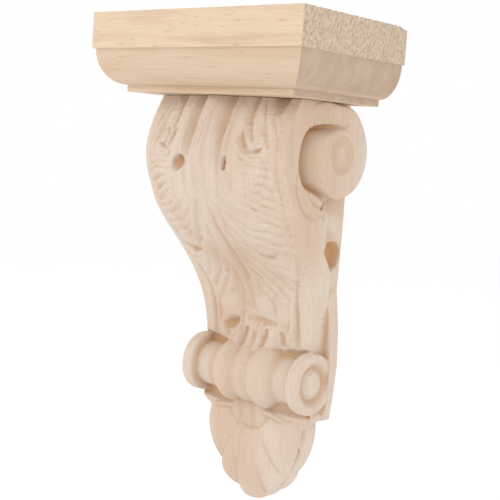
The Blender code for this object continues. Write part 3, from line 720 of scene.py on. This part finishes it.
def buildShell(lobed):  # the flat plate on the wall, or the round lobes before it
    outline = smoothLine(shell["radius"])
    depth = smoothLine(shell["middle"])
    bm = bmesh.new()
    bmesh.ops.create_grid(bm, x_segments=shell["around"], y_segments=shell["rings"], size=0.5)
    lift = bmesh.ops.extrude_face_region(bm, geom=bm.faces[:])
    floor = [v for v in lift["geom"] if isinstance(v, bmesh.types.BMVert)]
    bmesh.ops.translate(bm, vec=(0, 0, -1), verts=floor)

    def place(x, y, z):
        angle = x * 2 * shell["halfAngle"]
        share = 0.06 + 0.94 * (y + 0.5)
        turnedBy = np.abs(angle)
        rib = np.zeros(turnedBy.shape)
        first = -shell["lobes"][0]
        for last in shell["lobes"]:
            middle, half = (first + last) / 2, (last - first) / 2
            inside = np.abs(turnedBy - middle) <= half
            across = np.clip(np.abs(turnedBy - middle) / half, 0, 1)
            arch = 0.55 * (1 - across ** 2.4) + 0.45 * np.cos(across * math.pi / 2)
            rib = np.where(inside, arch, rib)
            first = last
        radius = outline(turnedBy) * (1 - shell["notch"] * (1 - rib) * share ** 3)
        bend = np.clip((share - shell["flatShare"]) / (1 - shell["flatShare"]), 0, 1) * math.pi
        flat = np.minimum(share, shell["flatShare"]) / shell["flatShare"]
        lobeRadius = flat * (radius - shell["rimRound"]) + shell["rimRound"] * np.sin(bend)
        rim = shell["rimDeep"] * (1 - np.cos(bend)) / 2
        fall = 2.5 * ease(turnedBy / 75) * ease(share)
        front = depth(flat * radius) - fall + (rib - 1) * shell["valley"] * share ** 1.8 - rim
        plateFront = shell["plate"] - 1.2 * np.clip((share - 0.97) / 0.03, 0, 1)
        radius = lobeRadius if lobed else radius * share
        front = front if lobed else plateFront
        turn = np.radians(angle)
        py = np.where(z < -0.5, bracket["backAllowance"], -np.maximum(front, 4.0))
        return radius * np.sin(turn), py, shell["z"] - radius * np.cos(turn)

    return bmToMesh(moved(bm, place), "shell")


def fused(meshes, name):  # one closed skin over all the carvings, cut flat at the back and the top
    whole = bmesh.new()
    for mesh in meshes:
        whole.from_mesh(mesh)
        bpy.data.meshes.remove(mesh)
    mesh = modified(bmToMesh(whole, "carvings"), "REMESH", mode="VOXEL", voxel_size=bracket["voxel"] * mm)
    bm = bmesh.new()
    bm.from_mesh(mesh)
    bpy.data.meshes.remove(mesh)
    bmesh.ops.smooth_vert(bm, verts=bm.verts, factor=bracket["softening"],
                          use_axis_x=True, use_axis_y=True, use_axis_z=True)
    for spot, normal in (((0, 0, 0), (0, 1, 0)), ((0, 0, bracket["top"] * mm), (0, 0, 1))):
        geom = bm.verts[:] + bm.edges[:] + bm.faces[:]
        bmesh.ops.bisect_plane(bm, geom=geom, dist=0.00001, plane_co=spot, plane_no=normal,
                               clear_outer=True)
        closed(bm)
    outward(bm)
    return bmToMesh(bm, name)


def thinned(mesh, triangles):  # the mesh with no more than this many triangles
    mesh.calc_loop_triangles()
    share = triangles / len(mesh.loop_triangles)
    return mesh if share >= 1 else modified(mesh, "DECIMATE", ratio=share)


# painted shade in the hollows, together with the tan of the hollows' wood, set by their depth
shadeAndTan = {
    "cutFrom": 1.0, "cutFull": 7.0,        # depth where the front's hollows start to darken, and the run
    "coveFull": 8.0, "coveMost": 0.7,
    "sideFull": 5.0, "sideMost": 1.4,
    "pit": 1.25,
    # rounds of smoothing, depth below the smoothed skin that counts in full, its weight
    "sunk": ((12, 0.35, 0.42), (60, 1.2, 0.6)),
}


def hollowShadeAndTan(spots, normals):  # painted shade in the cuts, by their depth, along with the tan of the hollows' wood
    x, y, z = spots.T / mm
    half = np.abs(x)
    facing = ease((-normals[:, 1] - 0.1) / 0.3)
    cut = -frontHollows(x, z) * facing * ease((z + 150) / 4)
    # painted shade behind the ends of the roll, darker towards the left
    cove = -deepest(half, z, neck["coves"], 3.0, 1.0) * facing * (1.1 - 0.9 * ease((x + 20) / 40))
    front = np.clip((cut - shadeAndTan["cutFrom"]) / shadeAndTan["cutFull"], 0, 1)
    front += np.clip(cove / shadeAndTan["coveFull"], 0, shadeAndTan["coveMost"])
    # painted shade and the hollows' tan in the side's cuts
    side = np.clip(-sideCuts(y, z) / shadeAndTan["sideFull"], 0, shadeAndTan["sideMost"])
    side *= ease((half - 36) / 4) * ease((60 - half) / 2)
    # painted shade in the volute's hollow
    pit = ease((62 - half) / 10) * ease(insideHollow(y, z, 0.0) / 2) * ease((half - 44) / 2)
    return front + side + shadeAndTan["pit"] * pit


def markShadeAndTan(mesh):  # painted shade where a point lies below its smoothed surroundings, along with the tan of the hollows' wood
    count = len(mesh.vertices)
    spots = readValues(mesh.vertices, "co", 3)
    normals = readValues(mesh.vertex_normals, "vector", 3)
    one, two = readValues(mesh.edges, "vertices", 2, int).T
    degree = np.bincount(one, minlength=count) + np.bincount(two, minlength=count)
    value = np.zeros(count)
    smooth = spots.copy()
    done = 0
    for rounds, full, weight in shadeAndTan["sunk"]:
        for turn in range(rounds - done):
            total = np.zeros((count, 3))
            for axis in range(3):
                total[:, axis] = (np.bincount(one, smooth[two, axis], minlength=count)
                                  + np.bincount(two, smooth[one, axis], minlength=count))
            smooth = 0.3 * smooth + 0.7 * total / degree[:, None]
        done = rounds
        sunk = ((smooth - spots) * normals).sum(1) / mm
        value += np.clip(sunk / full, -1, 1) * weight
    value += hollowShadeAndTan(spots, normals)
    value *= ease(-spots[:, 1] / mm)  # no painted shade on the sawn back
    # the point value "hollow" carries the painted shade and tan into the bracket's material
    layer = mesh.attributes.new("hollow", "FLOAT", "POINT")
    layer.data.foreach_set("value", value.astype(np.float32))


# materials

class Nodes:  # short ways to add and join shader nodes
    def __init__(self, material):
        material.use_nodes = True
        self.tree = material.node_tree
        self.shader = self.tree.nodes["Principled BSDF"]

    def add(self, kind, inputs=(), **settings):
        node = self.tree.nodes.new(kind)
        for name, value in settings.items():
            setattr(node, name, value)
        for socket, value in dict(inputs).items():
            if isinstance(value, bpy.types.NodeSocket):
                self.tree.links.new(value, node.inputs[socket])
            else:
                node.inputs[socket].default_value = value
        return node

    def ramp(self, factor, stops):
        node = self.add("ShaderNodeValToRGB", {0: factor})
        ends = node.color_ramp.elements
        while len(ends) < len(stops):
            ends.new(0.5)
        for end, (place, colour) in zip(ends, stops):
            end.position = place
            end.color = (*colour, 1.0)
        return node.outputs[0]

    def mix(self, factor, one, two, blend="MIX"):
        one, two = ((*tone, 1.0) if isinstance(tone, tuple) else tone for tone in (one, two))
        inputs = {0: factor, 6: one, 7: two}
        return self.add("ShaderNodeMix", inputs, data_type="RGBA", blend_type=blend).outputs[2]

    def maths(self, operation, one, two=0.0, clamp=False):
        node = self.add("ShaderNodeMath", {0: one, 1: two}, operation=operation, use_clamp=clamp)
        return node.outputs[0]

    def placed(self, vector, **inputs):  # the vector moved, turned or stretched
        chosen = {key.capitalize(): value for key, value in inputs.items()}
        return self.add("ShaderNodeMapping", {0: vector, **chosen}).outputs[0]

    def noise(self, vector, scale, detail=2.0, roughness=0.5):
        inputs = {"Vector": vector, "Scale": scale, "Detail": detail, "Roughness": roughness}
        return self.add("ShaderNodeTexNoise", inputs).outputs[0]

    def above(self, value, level, steep):  # 0 below the level, 1 above it
        return self.maths("MULTIPLY", self.maths("SUBTRACT", value, level), steep, clamp=True)

    def finish(self, colour, roughness, rise, strength, distance):
        inputs = {"Strength": strength, "Distance": distance, "Height": rise}
        self.tree.links.new(colour, self.shader.inputs["Base Color"])
        self.tree.links.new(self.add("ShaderNodeBump", inputs).outputs[0], self.shader.inputs["Normal"])
        self.shader.inputs["Roughness"].default_value = roughness
        self.shader.inputs["Specular IOR Level"].default_value = 0.35


black, white = (0, 0, 0), (1, 1, 1)

wood = {
    "cream": (0.63, 0.52, 0.428),
    "pink": (0.61, 0.478, 0.385),
    "tan": (0.58, 0.43, 0.32),
    # hollow and deep: painted shade in the bracket's hollows, with the hollows' tan
    "hollow": (0.515, 0.34, 0.212),
    "deep": (0.56, 0.33, 0.155),
    "pore": (0.33, 0.21, 0.135),
    "capFront": (0.68, 0.515, 0.37),
    # painted shade for the ovolo under the fascia
    "capDark": (0.58, 0.41, 0.27),
    "capOvoloShade": (0.46, 0.34, 0.24),
    "sawnLight": (0.54, 0.42, 0.315),
    "sawnDark": (0.36, 0.265, 0.185),
    "sawnPale": (0.64, 0.515, 0.395),
    "endLight": (0.475, 0.37, 0.28),
    "endDark": (0.42, 0.295, 0.20),
}


grain = {  # sizes of the patterns in each metre, and how much of each shows
    "bands": 55.0, "slow": 22.0, "fibre": 900.0, "pores": 1500.0, "fibreShare": 0.55, "poreShare": 0.32,
    "shift": (0.0, 0.031, 0.0),   # which part of the board the bracket is cut from
    "capBands": 75.0, "capFibre": 1000.0, "capPores": 1300.0, "capFibreShare": 0.6, "capPoreShare": 0.4,
    "torn": 800.0, "tornTilt": 0.35, "cloud": 70.0,
    "fasciaFoot": 0.0962, "filletTop": 0.0744,   # heights where the cap's finish changes at the fascia's foot, and between which the ovolo gets painted shade
    "ovoloShadeShare": 0.28,
}


def bracketWood():  # pale wood with upright grain, with painted shade and the hollows' tan in its hollows
    material = bpy.data.materials.new("bracketWood")
    n = Nodes(material)
    spot = n.add("ShaderNodeTexCoord").outputs["Object"]
    along = n.placed(spot, location=grain["shift"], scale=(1.0, 1.0, 0.09))
    bands = n.noise(along, grain["bands"], 4.0, 0.55)
    slow = n.noise(along, grain["slow"])
    streak = n.noise(n.placed(spot, scale=(1.0, 1.0, 0.03)), grain["fibre"])
    base = n.ramp(bands, ((0.38, wood["cream"]), (0.52, wood["cream"]), (0.66, wood["pink"])))
    base = n.mix(n.ramp(slow, ((0.48, black), (0.68, white))), base, wood["tan"])
    fibreTone = n.ramp(streak, ((0.35, (0.885, 0.865, 0.835)), (0.6, white)))
    base = n.mix(grain["fibreShare"], base, fibreTone, "MULTIPLY")
    poreMask = n.ramp(n.noise(along, grain["pores"], 1.0), ((0.66, black), (0.74, white)))
    base = n.mix(n.maths("MULTIPLY", poreMask, grain["poreShare"]), base, wood["pore"])
    # painted shade in the hollows, with their tan, from the "hollow" point value; the deepest go to a
    # darker brown
    sunk = n.add("ShaderNodeAttribute", attribute_name="hollow").outputs["Fac"]
    base = n.mix(n.ramp(sunk, ((0.04, black), (0.85, (0.8, 0.8, 0.8)))), base, wood["hollow"])
    base = n.mix(n.above(sunk, 0.85, 1.2), base, wood["deep"])
    rise = n.maths("ADD", n.maths("MULTIPLY", streak, 0.6), n.maths("MULTIPLY", poreMask, -0.5))
    n.finish(base, 0.62, rise, 0.25, 0.0003)
    return material


def capWood():  # the same wood with level grain, and end grain on its sawn ends
    material = bpy.data.materials.new("capWood")
    n = Nodes(material)
    spot = n.add("ShaderNodeTexCoord").outputs["Object"]
    height = n.add("ShaderNodeSeparateXYZ", {0: spot}).outputs[2]
    sawnShare = n.above(height, grain["fasciaFoot"], 2000.0)
    # long grain along the front
    along = n.placed(spot, scale=(0.07, 1.0, 1.0))
    bands = n.noise(along, grain["capBands"], 4.0, 0.6)
    streak = n.noise(n.placed(spot, scale=(0.03, 1.0, 1.0)), grain["capFibre"])
    longGrain = n.ramp(bands, ((0.35, wood["capFront"]), (0.5, wood["capFront"]), (0.68, wood["capDark"])))
    fibreTone = n.ramp(streak, ((0.35, (0.88, 0.86, 0.83)), (0.62, white)))
    longGrain = n.mix(grain["capFibreShare"], longGrain, fibreTone, "MULTIPLY")
    poreMask = n.ramp(n.noise(along, grain["capPores"], 1.0), ((0.66, black), (0.73, white)))
    longGrain = n.mix(n.maths("MULTIPLY", poreMask, grain["capPoreShare"]), longGrain, wood["pore"])
    # painted shade on the ovolo, between the fillet's top and the fascia's foot
    moulding = n.maths("SUBTRACT", n.above(height, grain["filletTop"], 2000.0), sawnShare)
    longGrain = n.mix(n.maths("MULTIPLY", moulding, grain["ovoloShadeShare"]), longGrain, wood["capOvoloShade"])
    # torn end grain on the fascia, sanded end grain below it
    torn = n.placed(n.placed(spot, rotation=(grain["tornTilt"], 0.0, 0.0)), scale=(1.0, 1.0, 0.45))
    fuzz = n.noise(torn, grain["torn"], 3.0, 0.7)
    sawnTones = ((0.34, wood["sawnDark"]), (0.52, wood["sawnLight"]), (0.72, wood["sawnPale"]))
    sawnGrain = n.ramp(fuzz, sawnTones)
    cloud = n.noise(n.placed(spot, scale=(1.0, 1.0, 0.6)), grain["cloud"], 6.0, 0.7)
    cutGrain = n.ramp(cloud, ((0.36, wood["endLight"]), (0.64, wood["endDark"])))
    endGrain = n.mix(sawnShare, cutGrain, sawnGrain)
    normal = n.add("ShaderNodeNewGeometry").outputs["True Normal"]
    facing = n.add("ShaderNodeSeparateXYZ", {0: normal}).outputs[0]
    endShare = n.ramp(n.maths("ABSOLUTE", facing), ((0.35, black), (0.6, white)))
    base = n.mix(endShare, longGrain, endGrain)
    endRise = n.maths("MULTIPLY", fuzz, n.maths("ADD", n.maths("MULTIPLY", sawnShare, 0.6), 0.1))
    rise = n.mix(endShare, n.maths("MULTIPLY", streak, 0.25), endRise)
    n.finish(base, 0.6, rise, 0.6, 0.0005)
    return material


# stage, light and camera

studio = {
    "floor": -0.36, "floorSize": 8.0,
    "lens": 78.4, "azimuth": 39.73, "downward": 5.253, "roll": -3.873,
    "place": (0.4579, -0.5861, 0.038),
    "middle": (0, -0.05, -0.02),
    "lamps": (  # name, place, size, power, colour
        ("keyLight", (-0.35, -1.5, 0.95), 1.1, 5.5, (1.0, 0.99, 0.97)),
        ("sideLight", (1.5, -0.5, 0.35), 0.9, 4.0, (0.97, 0.98, 1.0)),
        ("leftLight", (-1.4, -0.5, 0.2), 0.9, 3.0, (1, 1, 1)),
    ),
}


def buildFloor():  # plain and pale
    bm = bmesh.new()
    bmesh.ops.create_grid(bm, x_segments=2, y_segments=2, size=studio["floorSize"] / 2)
    bmesh.ops.translate(bm, vec=(0, 0, studio["floor"]), verts=bm.verts)
    material = bpy.data.materials.new("paleFloor")
    material.use_nodes = True
    shader = material.node_tree.nodes["Principled BSDF"]
    shader.inputs["Base Color"].default_value = (0.99, 0.99, 0.99, 1)
    shader.inputs["Roughness"].default_value = 0.9
    floor = newPiece("studioFloor", bmToMesh(bm, "studioFloor"), material)


def softLight(name, place, size, power, colour):  # a round lamp that looks at the bracket
    data = bpy.data.lights.new(name, "AREA")
    data.shape = "DISK"
    data.size = size
    data.energy = power
    data.color = colour
    light = added(name, data)
    light.location = place
    light.rotation_euler = (Vector(studio["middle"]) - Vector(place)).to_track_quat("-Z", "Y").to_euler()


def buildStudio():  # white surroundings and three soft lamps
    world = bpy.data.worlds.new("studio")
    world.use_nodes = True
    background = world.node_tree.nodes["Background"]
    background.inputs["Color"].default_value = (1, 1, 1, 1)
    background.inputs["Strength"].default_value = 1.0
    bpy.context.scene.world = world
    bpy.context.scene.view_settings.view_transform = "Standard"
    for lamp in studio["lamps"]:
        softLight(*lamp)


def buildCamera():  # at the photograph's angle, tilted as the photograph is
    az, el, tilt = (math.radians(studio[key]) for key in ("azimuth", "downward", "roll"))
    forward = Vector((-math.sin(az) * math.cos(el), math.cos(az) * math.cos(el), -math.sin(el)))
    right = Vector((math.cos(az), math.sin(az), 0))
    down = forward.cross(right)
    across = right * math.cos(tilt) + down * math.sin(tilt)
    below = down * math.cos(tilt) - right * math.sin(tilt)
    data = bpy.data.cameras.new("photoCamera")
    data.lens = studio["lens"]
    data.sensor_width = 36.0
    camera = added("photoCamera", data)
    camera.matrix_world = Matrix((across, -below, -forward)).transposed().to_4x4()
    camera.location = studio["place"]
    bpy.context.scene.camera = camera


buildFloor()
buildStudio()
buildCamera()
print("stage ready")

capPiece = newPiece("capBoard", buildCap(), capWood())
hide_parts("cap")
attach(capPiece, "root")
print("cap ready")

carvings = [buildCore(), buildVolute(1), buildVolute(-1), buildRoll(), buildShell(False), buildShell(True)]
print("carvings ready")
bracketMesh = fused(carvings, "scrollCarving")
print("carvings fused:", len(bracketMesh.polygons), "faces")
bracketMesh = thinned(bracketMesh, bracket["triangles"])
bracketMesh.shade_smooth()
bracketMesh.set_sharp_from_angle(angle=math.radians(60))
markShadeAndTan(bracketMesh)
bracketPiece = newPiece("scrollCarving", bracketMesh, bracketWood())
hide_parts("scroll_bracket")
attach(bracketPiece, "root")
print("bracket ready:", len(bracketMesh.polygons), "faces")
